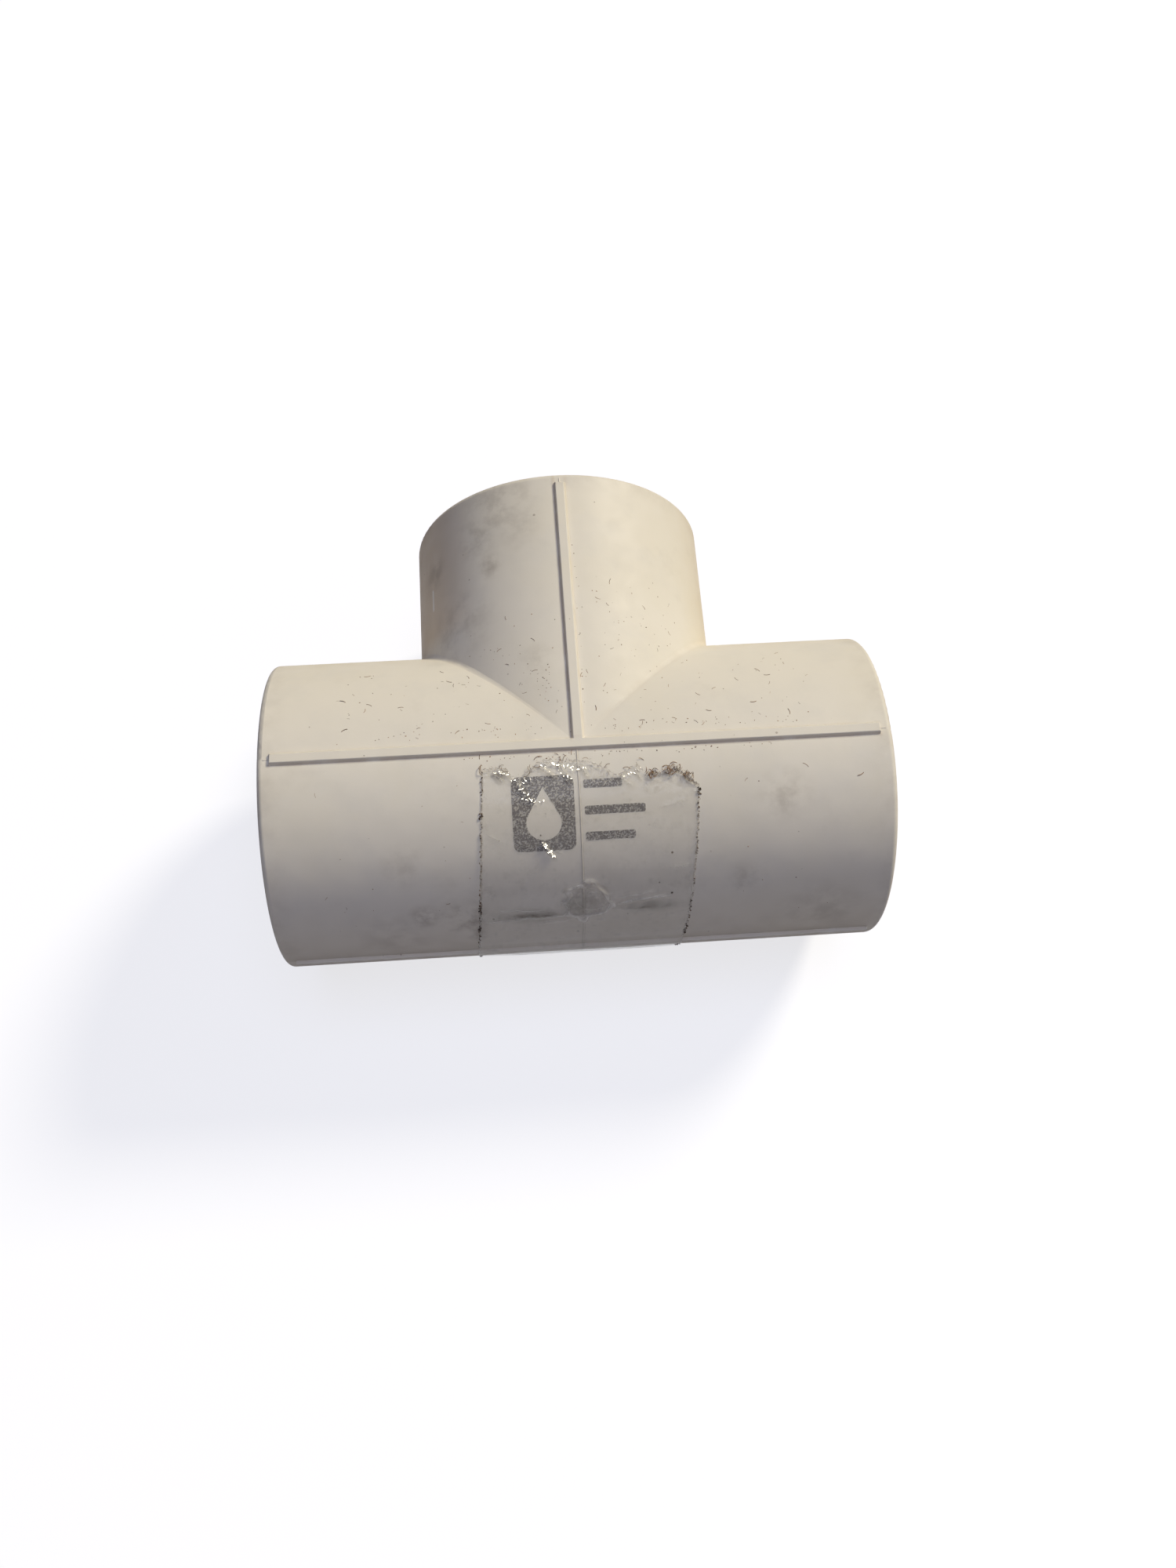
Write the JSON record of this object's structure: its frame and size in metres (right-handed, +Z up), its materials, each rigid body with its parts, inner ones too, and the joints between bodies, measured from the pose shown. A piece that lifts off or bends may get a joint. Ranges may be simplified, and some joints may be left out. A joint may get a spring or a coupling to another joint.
{
  "type": "solvent-weld pipe tee",
  "caption": "Equal tee for glued plastic pressure pipe, with three straight sockets, ribs on the arms, and clear tape over a plain printed mark.",
  "frame": {"origin": "where the centre lines of the run and the branch cross", "axes": "+X along the run, +Y along the branch towards its mouth, +Z up as the tee lies on the ribs of its underside"},
  "size_m": [0.078, 0.0598, 0.0412],
  "materials": {
    "pvc": "moulded cream-white PVC-U, satin, a little soiled",
    "ink": "thin grey ink, speckled and worn",
    "tape": "clear film, glossy, dusty at its edges"
  },
  "bodies": {
    "root": {"tee_body": "pvc", "printed_mark": "ink", "clear_tape": "tape"}
  },
  "joints": []
}
